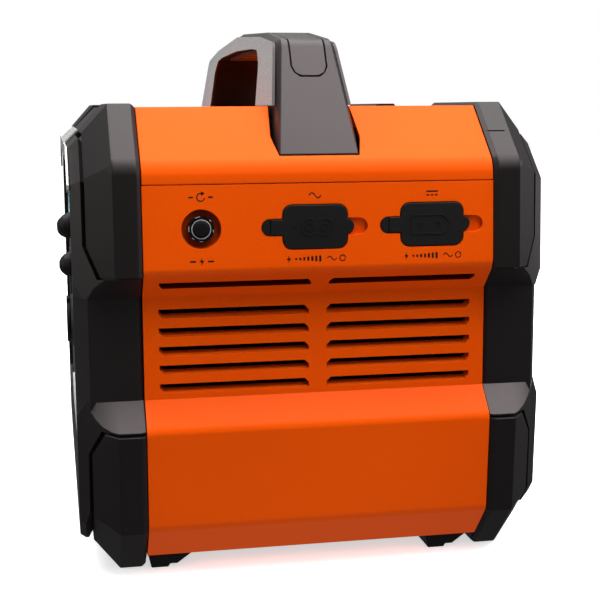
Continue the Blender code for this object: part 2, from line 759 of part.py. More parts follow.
def rib_strip():
    """Finger ribs under the grip, as a wavy strip that follows the window top."""
    half_x, ribs, steps = 61.0, 7, 6
    top, bottom = [], []
    for i in range(ribs * steps + 1):
        x = -half_x + 2 * half_x * i / (ribs * steps)
        roof = WINDOW[-1][1] - abs(x) * 0.0225 - GAP
        if i % steps == 0:
            top.append((x, roof))
        bottom.append((x, roof - 1.3 - 1.3 * math.sin(math.pi * i / steps) ** 2))
    return prism(top + list(reversed(bottom)), "Y", -12.0, 12.0)


def build_handle():
    face = filleted(HANDLE_FACE, 9.0)
    side = filleted(HANDLE_SIDE, 9.0)
    window = filleted(WINDOW, 7.0, 2)
    inner_x, tenon_z = WINDOW[0][0], TENON_BEND[1]
    face_arch = arch(face, [TENON_OUTER, TENON_BEND, (inner_x, tenon_z)], window)
    side_arch = arch(side, [(160.5, 228.4), TENON_BEND, (inner_x, tenon_z)], window)
    core = solid("handle_core", handle_loft(side_arch, face_arch, TRIM_THICK + GAP), "grip")
    cut(core, [inlay_strip(0.55, 3.0, INLAY_THICK + GAP)], "inlay_seat")
    solid("grip_inlay", inlay_strip(0.0, 0.0, INLAY_THICK), "grip")
    solid("grip_ribs", rib_strip(), "rubber")
    rest_z = CREST[1] + GAP + 0.1
    plate_base = at_height(rest_z, side[1], side[0])
    window_above = [(inner_x, rest_z)] + window[1:]
    plate = arch([plate_base] + side[1:], [], window_above)
    for end, sign in ENDS.items():
        rings = [[(x, sign * (handle_half_y(z) - depth), z) for x, z in plate]
                 for depth in (0.0, TRIM_THICK)]
        solid(f"handle_trim_{end}", loft(rings), "trim")
    for side_name, sign in SIDES.items():
        bracket = mirrored(block((104.0, -30.0, 236.2), (145.0, 30.0, 240.5)), sign, 1)
        solid(f"handle_bracket_{side_name}", bracket, "metal")


# ---------------------------------------------------------------- breaker and inlets

INLET_HOLES = {"ac": (25.0, 13.5), "dc": (22.0, 12.0)}
PANEL_INSIDE = face_x(PORT_Z) - PORT_WALL - GAP


def build_breaker():
    centre = (BREAKER_Y, PORT_Z)
    face = face_x(PORT_Z)
    body_front = PANEL_INSIDE
    low = (body_front - 22.0, BREAKER_Y - 7.0, PORT_Z - 16.0)
    high = (body_front, BREAKER_Y + 7.0, PORT_Z + 16.0)
    solid("breaker_body", block(low, high), "inner")
    bushing = solid("breaker_bushing", disc("X", centre, 5.5, body_front + GAP, face), "metal", 40)
    cut(bushing, [disc("X", centre, 4.6, body_front - 2.0, face + 2.0)], "bore")
    knurl = [(BREAKER_Y + (7.0 if i % 2 else 6.6) * math.cos(math.pi * i / 18),
              PORT_Z + (7.0 if i % 2 else 6.6) * math.sin(math.pi * i / 18)) for i in range(36)]
    nut = solid("breaker_nut", prism(knurl, "X", face - 3.3, face - 0.7), "dark_metal")
    cut(nut, [disc("X", centre, 5.85, face - 8.0, face + 3.0)], "bore")
    profile = [(body_front + GAP, 4.25), (face + 0.2, 4.25), (face + 0.7, 3.8), (face + 0.9, 3.0)]
    button = solid("breaker_button", turned("X", centre, profile), "rubber", 40)
    hang_on_pivot(button, (face, BREAKER_Y, PORT_Z))


def inlet_pocket(kind, centre_y):
    """Recess outline of an inlet: two joined circles, or a block with one slanted corner."""
    if kind == "ac":
        circles = [circle((centre_y + side * 3.6, PORT_Z), 4.4, 20) for side in (-1, 1)]
        return circles
    half_y, half_z = 8.8, 4.4
    return [[(centre_y - half_y, PORT_Z - half_z), (centre_y + half_y - 3, PORT_Z - half_z),
             (centre_y + half_y, PORT_Z - half_z + 3), (centre_y + half_y, PORT_Z + half_z - 3),
             (centre_y + half_y - 3, PORT_Z + half_z), (centre_y - half_y, PORT_Z + half_z)]]


def build_inlet(kind, centre_y):
    hole_w, hole_h = INLET_HOLES[kind]
    back = PANEL_INSIDE - 14.0
    front = face_x(PORT_Z) - 4.6
    low = (back, centre_y - 17.0, PORT_Z - 11.0)
    high = (PANEL_INSIDE, centre_y + 17.0, PORT_Z + 11.0)
    inlet = solid(f"{kind}_inlet", block(low, high), "socket")
    nose = prism(rounded_rect((centre_y, PORT_Z), (hole_w - 0.8, hole_h - 0.8), 2.2, 3), "X",
                 PANEL_INSIDE - 2.0, front)
    fuse(inlet, [nose], "nose")
    for number, shape in enumerate(inlet_pocket(kind, centre_y)):
        cut(inlet, [prism(shape, "X", back + 4.0, front + 3.0)], f"socket{number}")
    pins = [disc("X", (centre_y + side * 3.9, PORT_Z), 1.25, back + 2.0, front - 1.5, 12)
            for side in (-1, 1)]
    fuse(inlet, pins, "pin")


def build_cover(kind, centre_y):
    """Rubber cover with a plug rim; it folds open at the strap."""
    floor = face_x(PORT_Z) - POCKET_DEPTH + GAP
    top = floor + COVER_THICK + 0.3
    body = prism(rounded_rect((centre_y, PORT_Z), COVER_SIZE, COVER_RADIUS), "X", floor, top)
    cover = solid(f"{kind}_inlet_cover", body, "rubber")
    hinge_y = centre_y - HINGE_REACH
    strap = block((floor, hinge_y + GAP / 2, PORT_Z - STRAP_HEIGHT / 2),
                  (top, centre_y - COVER_SIZE[0] / 2 + 2.0, PORT_Z + STRAP_HEIGHT / 2))
    nub = prism(tab_outline(centre_y, NUB_REACH, STRAP_HEIGHT, 1), "X", floor, top)
    hole_w, hole_h = INLET_HOLES[kind]
    plug = prism(rounded_rect((centre_y, PORT_Z), (hole_w - 2.4, hole_h - 1.4), 2.0, 3), "X",
                 floor - 1.6, floor + 0.8)
    fuse(cover, [strap, nub, plug], "part")
    hang_on_pivot(cover, (top, hinge_y, PORT_Z))
    radius = STRAP_HEIGHT / 2
    tab = tab_outline(centre_y, STRAP_REACH, STRAP_HEIGHT, -1)
    anchor = [(min(y, hinge_y - GAP / 2), z) for y, z in tab]
    anchor = [p for i, p in enumerate(anchor)
              if p not in anchor[:i] and abs(p[1] - PORT_Z) <= radius]
    solid(f"{kind}_cover_anchor", prism(anchor, "X", floor, top), "rubber")


# ---------------------------------------------------------------- control front

def front_disc(centre, radius, near, far, steps=32):
    return disc("Y", centre, radius, -near, -far, steps)


def trim_station(inner, outer):
    """One station of the flat front trim, as a thin section from its inner to its outer edge."""
    near, far = -FACE_Y - TRIM_THICK, -FACE_Y - GAP
    return [(inner[0], near, inner[1]), (outer[0], near, outer[1]),
            (outer[0], far, outer[1]), (inner[0], far, inner[1])]


def build_front_trim():
    """Silver trim over the top of the control front; its middle laps over the chamfer."""
    crest, shoulder, waist = inset_hull(20.3)[:3]
    right = [
        trim_station((155.0, 204.2), at_height(206.0, shoulder, waist)),
        trim_station((155.0, 205.8), shoulder),
        trim_station((138.5, 219.6), crest),
    ]
    left = [[(-x, y, z) for x, y, z in ring] for ring in reversed(right)]
    trim = solid("front_trim", loft(right + left), "trim")
    low = CREST[1] - 26.5
    lap = [(-FACE_Y - TRIM_THICK, low), (-FACE_Y - TRIM_THICK, CREST[1] - 20.3),
           (-FACE_Y + 6.5, CREST[1] - 12.3), (-FACE_Y + 7.35, CREST[1] - 13.2),
           (-FACE_Y - GAP, CREST[1] - 20.9), (-FACE_Y - GAP, low)]
    fuse(trim, [prism(lap, "X", -TRIM_LAP_HALF_X, TRIM_LAP_HALF_X)], "lap")


def build_control_panel(outline):
    panel = solid("control_panel", prism(outline, "Y", -PANEL_Y, -PANEL_Y + PANEL_THICK), "gloss")
    near, far = PANEL_Y + 3.0, PANEL_Y - PANEL_THICK - 3.0
    shapes = [rounded_rect((0.0, DISPLAY_Z), DISPLAY_SIZE, 4.0, 3),
              rounded_rect((USB_X, USB_Z), (52.0, 30.0), 3.0, 3),
              rounded_rect((0.0, LAMP_Z), LAMP_SIZE, 6.0, 3),
              circle((CAR_X, CAR_Z), CAR_RADIUS + 0.5)]
    shapes += [rounded_rect((OUTLET_X, z), OUTLET_SIZE, 5.0, 3) for z in OUTLET_ZS]
    shapes += [circle((x, JACK_Z), 6.0, 20) for x in JACK_XS]
    shapes += [circle(centre, BUTTON_RADIUS + 0.5) for centre in BUTTONS.values()]
    cut(panel, [prism(shape, "Y", -near, -far) for shape in shapes], "openings")


def build_display():
    size = (DISPLAY_SIZE[0] - 0.8, DISPLAY_SIZE[1] - 0.8)
    outline = rounded_rect((0.0, DISPLAY_Z), size, 3.6, 3)
    solid("display_lens", prism(outline, "Y", -PANEL_Y - 0.5, -PANEL_Y + 2.0), "gloss")
    low = (-62.0, -PANEL_Y + 3.5, DISPLAY_Z - 25.0)
    high = (62.0, -PANEL_Y + 5.2, DISPLAY_Z + 22.0)
    solid("display_board", block(low, high), "board")


def build_buttons():
    """Domed rubber buttons with a flange behind the panel."""
    back = PANEL_Y - PANEL_THICK - GAP
    for name, centre in BUTTONS.items():
        foot = -PANEL_Y - DOME_FOOT
        profile = [(-back + 1.4, 9.2), (-back, 9.2), (-back, BUTTON_RADIUS), (foot, BUTTON_RADIUS)]
        profile += [(foot - DOME_RISE * math.sin(a), BUTTON_RADIUS * math.cos(a))
                    for a in DOME_ANGLES]
        button = solid(name, turned("Y", centre, profile, 28), "rubber", 50)
        hang_on_pivot(button, (centre[0], -PANEL_Y, centre[1]))


def build_outlets():
    for label, z in zip(("upper", "lower"), OUTLET_ZS):
        size = (OUTLET_SIZE[0] - 0.8, OUTLET_SIZE[1] - 0.8)
        outline = rounded_rect((OUTLET_X, z), size, 4.6, 3)
        face = prism(outline, "Y", -PANEL_Y - 1.0, -PANEL_Y + 24.0)
        outlet = solid(f"ac_outlet_{label}", face, "socket")
        near, far = -PANEL_Y - 4.0, -PANEL_Y + 16.0
        slots = [block((OUTLET_X + dx - 1.0, near, z - 1.0), (OUTLET_X + dx + 1.0, far, z + 7.0))
                 for dx in (-6.4, 6.4)]
        slots.append(disc("Y", (OUTLET_X, z - 7.5), 2.5, near, far, 16))
        cut(outlet, slots, "slots")


def build_usb():
    outline = rounded_rect((USB_X, USB_Z), (51.2, 29.2), 2.6, 3)
    module = solid("usb_module", prism(outline, "Y", -PANEL_Y - 0.8, -PANEL_Y + 20.0), "socket")
    near, far = -PANEL_Y - 4.0, -PANEL_Y + 12.0
    half_x, half_z = 6.5, 3.0
    ports = [block((x - half_x, near, USB_Z - half_z), (x + half_x, far, USB_Z + half_z))
             for x in (USB_X - USB_SPREAD, USB_X + USB_SPREAD)]
    cut(module, ports, "ports")


def build_car_socket():
    centre = (CAR_X, CAR_Z)
    profile = [(-PANEL_Y - 2.0, CAR_RADIUS - 1.0), (-PANEL_Y - 1.0, CAR_RADIUS),
               (-PANEL_Y + 4.0, CAR_RADIUS), (-PANEL_Y + 4.0, 14.0), (-PANEL_Y + 44.0, 14.0)]
    socket = solid("car_socket", turned("Y", centre, profile), "socket", 40)
    cut(socket, [disc("Y", centre, 10.6, -PANEL_Y - 6.0, -PANEL_Y + 40.0)], "bore")
    fuse(socket, [disc("Y", centre, 2.5, -PANEL_Y + 34.0, -PANEL_Y + 42.0, 16)], "contact")
    near = PANEL_Y + 2.0 + GAP
    lid = disc("Y", centre, 13.6, -near - 2.2, -near)
    cap = solid("car_socket_cap", lid, "rubber")
    hinge_z = CAR_Z + 15.4
    fuse(cap, [block((-6.0, -near - 2.2, CAR_Z + 8.0), (6.0, -near, hinge_z)),
               disc("Y", centre, 10.0, -near - 1.0, -near + 5.0)], "part")
    hang_on_pivot(cap, (CAR_X, -near - 2.2, hinge_z))


def build_jacks():
    for label, x in zip(("left", "right"), JACK_XS):
        centre = (x, JACK_Z)
        profile = [(-PANEL_Y - 1.2, 5.6), (-PANEL_Y + 14.0, 5.6)]
        jack = solid(f"dc_jack_{label}", turned("Y", centre, profile, 24), "socket", 40)
        cut(jack, [disc("Y", centre, 2.8, -PANEL_Y - 4.0, -PANEL_Y + 10.0, 20)], "bore")
        fuse(jack, [disc("Y", centre, 0.8, -PANEL_Y + 1.5, -PANEL_Y + 12.0, 10)], "pin")


def build_lamp():
    size = (LAMP_SIZE[0] - 0.8, LAMP_SIZE[1] - 0.8)
    outline = rounded_rect((0.0, LAMP_Z), size, 5.6, 3)
    solid("lamp_lens", prism(outline, "Y", -PANEL_Y - 1.2, -PANEL_Y + 2.6), "lens")


# ---------------------------------------------------------------- inside

def build_inside():
    floor = BASE[1] + SHELL_WALL + 6.5
    pack = block((-112.0, -72.0, floor), (112.0, 74.0, floor + 132.0))
    solid("battery_pack", pack, "cell_wrap")
    bms = block((-100.0, -60.0, floor + 135.0), (40.0, 55.0, floor + 136.8))
    solid("bms_board", bms, "board")
    solid("inverter_board", block((-112.0, -66.0, 172.0), (112.0, 66.0, 174.0)), "board")
    sink = solid("heatsink", block((-60.0, -34.0, 175.0), (60.0, 34.0, 180.0)), "metal")
    fins = [block((-60.0, y - 1.0, 179.0), (60.0, y + 1.0, 204.0)) for y in range(-30, 31, 10)]
    fuse(sink, fins, "fin")


def fan_rotor_parts(centre):
    hub = turned("X", centre, [(FAN_X - 5.0, 9.0), (FAN_X + 4.0, 9.0), (FAN_X + 5.0, 8.0)], 24)
    blades = []
    for i in range(5):
        blade = block((-3.8, 7.5, -0.8), (3.8, 21.5, 0.8))
        turn = Matrix.Rotation(math.tau * i / 5, 4, "X")
        pitch = Matrix.Rotation(math.radians(38), 4, "Y")
        blade.transform(Matrix.Translation(Vector((FAN_X, *centre)) * MM) @ turn @ pitch)
        blades.append(blade)
    return hub, blades


def build_fans():
    half = FAN_SIZE / 2
    for label, sign in (("front", -1), ("rear", 1)):
        centre = (sign * FAN_Y, FAN_Z)
        low_x, high_x = FAN_X - FAN_DEPTH / 2, FAN_X + FAN_DEPTH / 2
        outline = rounded_rect(centre, (FAN_SIZE, FAN_SIZE), 3.0, 2)
        frame = solid(f"fan_frame_{label}", prism(outline, "X", low_x, high_x), "inner")
        cut(frame, [disc("X", centre, half - 2.0, low_x - 3.0, high_x + 3.0, 40)], "duct")
        struts = [block((low_x, centre[0] - half + 1.0, FAN_Z - 1.5),
                        (low_x + 1.6, centre[0] + half - 1.0, FAN_Z + 1.5)),
                  disc("X", centre, 8.0, low_x, low_x + 1.6, 24)]
        fuse(frame, struts, "strut")
        hub, blades = fan_rotor_parts(centre)
        rotor = solid(f"fan_rotor_{label}", hub, "inner")
        fuse(rotor, blades, "blade")
        hang_on_pivot(rotor, (FAN_X, *centre))


def settle_on_origin():
    """Shift everything so that the origin is the middle of the footprint."""
    for thing in bpy.data.objects:
        if thing.parent is None:
            thing.location.y += FOOTPRINT_SHIFT * MM


def main():
    clear_scene()
    PALETTE.update(palette())
    front = build_housing("front")
    build_housing("rear")
    window = build_front_openings(front)
    build_guards()
    build_top_cover()
    for side in SIDES:
        panel = build_side_panel(side)
        if side == "right":
            cut_ports(panel)
    build_bottom_tray()
    build_feet()
    build_handle()
    build_breaker()
    for kind, centre_y in (("ac", AC_Y), ("dc", DC_Y)):
        build_inlet(kind, centre_y)
        build_cover(kind, centre_y)
    build_front_trim()
    build_control_panel(window)
    build_display()
    build_buttons()
    build_outlets()
    build_usb()
    build_car_socket()
    build_jacks()
    build_lamp()
    build_inside()
    build_fans()
    settle_on_origin()


main()
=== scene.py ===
"""Looks for the power station: finished surfaces, fine details, lights and camera."""

import json
import math

import bmesh
import bpy
from mathutils import Euler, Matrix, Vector


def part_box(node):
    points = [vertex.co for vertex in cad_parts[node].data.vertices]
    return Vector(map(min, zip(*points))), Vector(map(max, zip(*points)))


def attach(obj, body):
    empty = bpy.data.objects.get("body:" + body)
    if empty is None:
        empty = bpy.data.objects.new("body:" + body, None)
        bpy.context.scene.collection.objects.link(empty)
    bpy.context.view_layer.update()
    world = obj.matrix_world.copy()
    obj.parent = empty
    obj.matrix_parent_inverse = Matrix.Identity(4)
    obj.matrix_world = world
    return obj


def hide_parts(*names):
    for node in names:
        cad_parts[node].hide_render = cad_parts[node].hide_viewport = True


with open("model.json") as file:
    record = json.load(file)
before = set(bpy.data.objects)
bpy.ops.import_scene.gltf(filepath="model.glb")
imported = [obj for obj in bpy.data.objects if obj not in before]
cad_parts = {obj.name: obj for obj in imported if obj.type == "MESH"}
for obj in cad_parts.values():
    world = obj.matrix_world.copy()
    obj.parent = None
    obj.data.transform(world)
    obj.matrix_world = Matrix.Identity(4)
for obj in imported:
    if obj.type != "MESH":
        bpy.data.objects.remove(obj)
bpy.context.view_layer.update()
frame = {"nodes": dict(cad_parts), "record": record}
NODES = frame["nodes"]
BODY_OF = {node: body for body, nodes in frame["record"]["behaviour"]["bodies"].items()
           for node in nodes}
SLOT_OF = {row["node"]: row["material_slot"] for row in frame["record"]["subparts"]}

MM = 0.001
WHITE = (1.0, 1.0, 1.0, 1.0)
Y0 = (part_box("top_cover")[0].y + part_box("top_cover")[1].y) / 2      # middle of the shell

# Camera and lights: places in metres from the middle of the shell, at floor height.
CAMERA_PLACE = (0.81543, -0.13534, 0.24656)
CAMERA_TURN = (81.341, 0.294, 78.904)        # degrees about X, Y and Z
SENSOR_MM = 36.0
FOCAL_MM = 75.647
NEAREST = 0.01                 # nearest distance the camera sees
MIDDLE = (0.0, 0.0, 0.15)
LIGHTS = [                     # name, place, target, size, power in watts
    ("top_soft", (0.26, 0.25, 1.25), (0.08, 0.0, 0.2), (1.2, 1.4), 37.0),
    ("bend_soft", (0.82, 0.25, 1.08), (0.15, 0.0, 0.2), (0.2, 1.2), 3.1),
    ("chamfer_soft", (-0.15, -0.75, 1.3), MIDDLE, (0.6, 0.6), 10.0),
    ("front_left", (0.3, -1.9, 0.55), MIDDLE, (1.0, 1.0), 6.0),
    ("rear_right", (0.1, 1.9, 0.5), MIDDLE, (1.0, 1.0), 9.0),
    ("back", (-1.3, -0.3, 1.7), MIDDLE, (1.2, 0.8), 12.0),
    ("floor_bounce", (0.35, 0.0, -0.5), (0.3, 0.0, 0.2), (1.0, 1.4), 4.5),
]
UNSEEN_IN_GLOSS = ("floor_bounce",)
WORLD_LOW = 0.12               # strength of the room at and below the horizon
WORLD_HIGH = 0.50              # and overhead
HORIZON = (-0.1, 0.9)          # directions (z of a unit vector) between which it brightens
FLOOR_GLOW = (0.60, 1.0)       # glow of the floor near the object and away from it
FLOOR_FADE = (0.15, 0.75)      # distances between which the glow rises, metres
FLOOR_HALF = 6.0
SURROUND_RADIUS = 9.0

# Surfaces
DRIFT_SCALE = 9.0              # slow drift of the plastic's colour, waves per metre
SPECK_COARSER = 2.2            # its specks, in widths of the moulded grain
SPECK_SHARE = 0.35
GLOSS_SPREAD = 0.03            # how uneven the roughness of plastic is, either way
GRAIN_DEPTH = 0.08 * MM
BRUSH_SCALE = (2600.0, 40.0)   # brush lines across and along, per metre
BRUSH_SPREAD = 0.08
BRUSH_DEPTH = 0.04 * MM
FLECK_SCALE = 900.0

# Finishing of the CAD surfaces
MERGE = 0.01 * MM              # points nearer than this become one
FLAT_DEG = 0.7                 # faces meeting flatter than this become one
WIDE_MIN_DEG = 6.0             # least bend of an edge that takes a wide rounding
SHARP_DEG = 24.0               # and of an edge that takes a plain one
CREASE_DEG = 35.0              # shading breaks at edges sharper than this

# Places on the object, in mm: x from the middle, y from the middle of the shell, z up.
SHELL_PROFILE = [(149.0, 247.5), (182.5, 218.0), (185.0, 164.0), (171.0, 150.5),
                 (171.0, 96.5), (184.0, 82.5), (180.5, 29.0), (162.0, 9.0)]
SHOULDER = [(182.5, 218.0), (183.3, 218.3), (182.9, 217.5)]      # (x, z) of the guards' bend
BENDS = [SHELL_PROFILE[2], SHELL_PROFILE[5], SHELL_PROFILE[6]]   # of the side panels
LEDGE_MIN_X = 150.0
LEDGE_Y = (91.0, 122.3)
LEDGE_Z = ((82.0, 98.0), (149.0, 165.0))
LEDGE_MIN_RISE = 0.12          # least z of a ledge face's normal
LEDGE_NORMAL = (0.73, 0.3, 0.68)      # across, along at the curl, up or down
LEDGE_CURL = (106.0, 15.0)     # where the ledges start to curl, and over what length
VENT_HALF = 87.0
VENT_MIN_X = 160.0
VENT_Z = (97.0, 148.5, 163.0)  # foot of the slots, end of the upright wall, end of the ledge
WELL_RADIUS = 9.9
WELL_MIN_X = 170.0
WINDOW_HALF = 104.0            # opening of the handle
WINDOW_Z = (246.0, 283.5)
GASKET_Y = (92.05, 92.65)
GASKET_INSET = (2.9, 7.0)      # of its outer and inner outline from the shell's
BREAKER_Y, AC_Y, DC_Y = -62.5, -3.8, 58.5      # middles of the breaker and the two inlets
MARKS_Z = (170.0, 202.4)       # rows of pictograms below and above them
COVER_Z = 186.3
SCREW_X = 133.0
SCREW_Z = (54.0, 200.0)
SUNK = -0.05                   # how far raised marks reach into the surface below
INK_RISE = 0.03
PANEL_INK_RISE = 0.04
SIGN_RISE = 0.32               # signs moulded into the covers
LINE_SHARES = (0.5, 0.36)      # half width of a raised line at its foot and top


# ---------------------------------------------------------------- shader helpers

def add_node(tree, kind, values=None, links=None, **settings):
    """A shader node with its settings, the values of its sockets and its incoming links."""
    made = tree.nodes.new(kind)
    for key, value in settings.items():
        setattr(made, key, value)
    for socket, value in (values or {}).items():
        made.inputs[socket].default_value = value
    for socket, source in (links or {}).items():
        tree.links.new(source, made.inputs[socket])
    return made


def new_material(name):
    made = bpy.data.materials.new(name)
    made.use_nodes = True
    return made, made.node_tree, made.node_tree.nodes["Principled BSDF"]


def two_tones(tree, value, low, high):
    """Colour that runs between two (position, colour) stops."""
    ramp = add_node(tree, "ShaderNodeValToRGB", links={"Fac": value})
    for stop, (position, colour) in zip(ramp.color_ramp.elements, (low, high)):
        stop.position = position
        stop.color = (*colour, 1.0)
    return ramp.outputs["Color"]


def mapped(tree, value, source, target, **settings):
    """A value brought from one (low, high) range to another."""
    values = {"From Min": source[0], "From Max": source[1],
              "To Min": target[0], "To Max": target[1]}
    return add_node(tree, "ShaderNodeMapRange", values, {"Value": value},
                    **settings).outputs["Result"]


def bumped(tree, height, strength, distance, shader):
    bump = add_node(tree, "ShaderNodeBump", {"Strength": strength, "Distance": distance},
                    {"Height": height})
    tree.links.new(bump.outputs["Normal"], shader.inputs["Normal"])


# ---------------------------------------------------------------- camera, lights and floor

def from_middle(place):
    return Vector(place) + Vector((0.0, Y0, 0.0))


def build_camera():
    data = bpy.data.cameras.new("camera")
    data.sensor_width = SENSOR_MM
    data.lens = FOCAL_MM
    data.clip_start = NEAREST
    camera = bpy.data.objects.new("camera", data)
    camera.location = from_middle(CAMERA_PLACE)
    camera.rotation_euler = Euler([math.radians(turn) for turn in CAMERA_TURN])
    bpy.context.scene.collection.objects.link(camera)
    bpy.context.scene.camera = camera


def build_light(name, place, target, size, power):
    data = bpy.data.lights.new(name, "AREA")
    data.shape = "RECTANGLE"
    data.size, data.size_y = size
    data.energy = power
    light = bpy.data.objects.new(name, data)
    place, target = from_middle(place), from_middle(target)
    light.location = place
    light.rotation_euler = (target - place).to_track_quat("-Z", "Y").to_euler()
    light.visible_glossy = name not in UNSEEN_IN_GLOSS
    bpy.context.scene.collection.objects.link(light)


def build_studio():
    """A dim room, a broad soft light overhead and weak lights for the upright faces."""
    scene = bpy.context.scene
    scene.view_settings.view_transform = "Standard"
    world = bpy.data.worlds.new("studio")
    world.use_nodes = True
    tree = world.node_tree
    place = add_node(tree, "ShaderNodeTexCoord").outputs["Generated"]
    split = add_node(tree, "ShaderNodeSeparateXYZ", links={"Vector": place})
    strength = mapped(tree, split.outputs["Z"], HORIZON, (WORLD_LOW, WORLD_HIGH),
                      interpolation_type="SMOOTHSTEP")
    background = tree.nodes["Background"]
    tree.links.new(strength, background.inputs["Strength"])
    background.inputs["Color"].default_value = WHITE
    scene.world = world
    for row in LIGHTS:
        build_light(*row)


def floor_material():
    """Pale floor that fades into the white surround away from the object."""
    made, tree, shader = new_material("studio_floor")
    shader.inputs["Roughness"].default_value = 0.85
    shader.inputs["Specular IOR Level"].default_value = 0.1
    noise = add_node(tree, "ShaderNodeTexNoise", {"Scale": 3.0})
    tint = two_tones(tree, noise.outputs["Fac"], (0.0, [0.90] * 3), (1.0, [0.93] * 3))
    tree.links.new(tint, shader.inputs["Base Color"])
    place = add_node(tree, "ShaderNodeTexCoord").outputs["Object"]
    away = add_node(tree, "ShaderNodeVectorMath", links={0: place}, operation="LENGTH")
    glow = mapped(tree, away.outputs["Value"], FLOOR_FADE, FLOOR_GLOW,
                  interpolation_type="SMOOTHSTEP")
    shader.inputs["Emission Color"].default_value = WHITE
    tree.links.new(glow, shader.inputs["Emission Strength"])
    return made


def surround_material():
    made, tree, shader = new_material("studio_surround")
    glow = add_node(tree, "ShaderNodeEmission", {"Strength": 1.0})
    tree.links.new(glow.outputs["Emission"], tree.nodes["Material Output"].inputs["Surface"])
    tree.nodes.remove(shader)
    return made


def stage_mesh(name, bm, made):
    """A stage piece that the camera sees, and that neither lights nor shades the object."""
    mesh = bpy.data.meshes.new(name)
    bm.to_mesh(mesh)
    bm.free()
    mesh.materials.append(made)
    stage = bpy.data.objects.new(name, mesh)
    bpy.context.scene.collection.objects.link(stage)
    stage.visible_diffuse = False
    stage.visible_glossy = False
    stage.visible_transmission = False
    stage.visible_shadow = False


def build_floor():
    """The floor, and a white surround; the light below the floor stands for their bounce."""
    bm = bmesh.new()
    bmesh.ops.create_grid(bm, x_segments=1, y_segments=1, size=FLOOR_HALF)
    stage_mesh("floor", bm, floor_material())
    bm = bmesh.new()
    bmesh.ops.create_icosphere(bm, subdivisions=3, radius=SURROUND_RADIUS)
    stage_mesh("surround", bm, surround_material())


# ---------------------------------------------------------------- materials

def plastic(name, colour, dark, roughness, grain_mm, grain, specular=0.5, sheen=None):
    """Moulded plastic: fine spark-eroded grain, slow colour drift and uneven gloss."""
    made, tree, shader = new_material(name)
    shader.inputs["Specular IOR Level"].default_value = specular
    if sheen:
        shader.inputs["Specular Tint"].default_value = (*sheen, 1.0)
    place = add_node(tree, "ShaderNodeTexCoord").outputs["Object"]

    drift = add_node(tree, "ShaderNodeTexNoise", {"Scale": DRIFT_SCALE, "Detail": 3.0},
                     {"Vector": place})
    speck = add_node(tree, "ShaderNodeTexNoise",
                     {"Scale": 1.0 / (grain_mm * MM * SPECK_COARSER), "Detail": 2.0},
                     {"Vector": place})
    both = add_node(tree, "ShaderNodeMix", {"Factor": SPECK_SHARE},
                    {"A": drift.outputs["Fac"], "B": speck.outputs["Fac"]})
    uneven = both.outputs["Result"]
    tint = two_tones(tree, uneven, (0.35, dark), (0.65, colour))
    tree.links.new(tint, shader.inputs["Base Color"])
    gloss = mapped(tree, uneven, (0.3, 0.7), (roughness - GLOSS_SPREAD, roughness + GLOSS_SPREAD))
    tree.links.new(gloss, shader.inputs["Roughness"])

    fine = add_node(tree, "ShaderNodeTexNoise",
                    {"Scale": 1.0 / (grain_mm * MM), "Detail": 3.0, "Roughness": 0.6},
                    {"Vector": place})
    bumped(tree, fine.outputs["Fac"], grain, GRAIN_DEPTH, shader)
    return made


def metal(name, colour, roughness, brush_axis, brushing=0.25, metallic=1.0, fleck=0.0):
    """Metal or metallic paint with fine brush lines, and flecks of lighter and darker grain."""
    made, tree, shader = new_material(name)
    shader.inputs["Metallic"].default_value = metallic
    place = add_node(tree, "ShaderNodeTexCoord").outputs["Object"]
    across, along = BRUSH_SCALE
    scale = [along if axis == brush_axis else across for axis in range(3)]
    stretch = add_node(tree, "ShaderNodeMapping", {"Scale": scale}, {"Vector": place})
    lines = add_node(tree, "ShaderNodeTexNoise", {"Scale": 1.0, "Detail": 2.0},
                     {"Vector": stretch.outputs["Vector"]}).outputs["Fac"]
    gloss = mapped(tree, lines, (0.0, 1.0), (roughness - BRUSH_SPREAD, roughness + BRUSH_SPREAD))
    tree.links.new(gloss, shader.inputs["Roughness"])
    grain = add_node(tree, "ShaderNodeTexNoise", {"Scale": FLECK_SCALE, "Detail": 3.0},
                     {"Vector": place})
    tint = two_tones(tree, grain.outputs["Fac"], (0.32, [c * (1 - fleck) for c in colour]),
                     (0.68, [c * (1 + fleck) for c in colour]))
    tree.links.new(tint, shader.inputs["Base Color"])
    bumped(tree, lines, brushing, BRUSH_DEPTH, shader)
    return made


def shaded_recess(name, colour, lip_x_mm, deep_x_mm, lip_share, deep_share):
    """Shell plastic with painted shade that darkens with depth, for the walls of the vents and
    recesses.
    """
    made = plastic(name, colour, [c * 0.92 for c in colour], 0.5, 0.55, 0.35, specular=0.03)
    tree = made.node_tree
    base = tree.nodes["Principled BSDF"].inputs["Base Color"]
    tint = base.links[0].from_socket
    place = add_node(tree, "ShaderNodeTexCoord").outputs["Object"]
    split = add_node(tree, "ShaderNodeSeparateXYZ", links={"Vector": place})
    across = add_node(tree, "ShaderNodeMath", links={0: split.outputs["X"]}, operation="ABSOLUTE")
    share = mapped(tree, across.outputs["Value"], (deep_x_mm * MM, lip_x_mm * MM),
                   (deep_share, lip_share))
    darker = add_node(tree, "ShaderNodeVectorMath", links={0: tint, "Scale": share},
                      operation="SCALE")
    tree.links.new(darker.outputs["Vector"], base)
    return made


def glowing(name, colour, strength, base):
    """Display ink: a printed mark with a faint light of its own."""
    made = plastic(name, base, base, 0.4, 0.6, 0.1)
    shader = made.node_tree.nodes["Principled BSDF"]
    shader.inputs["Emission Color"].default_value = (*colour, 1.0)
    shader.inputs["Emission Strength"].default_value = strength
    return made


WARM = (1.0, 0.86, 0.85)       # tint of the reflections on the dark plastic
ORANGE = (0.80, 0.083, 0.0010)
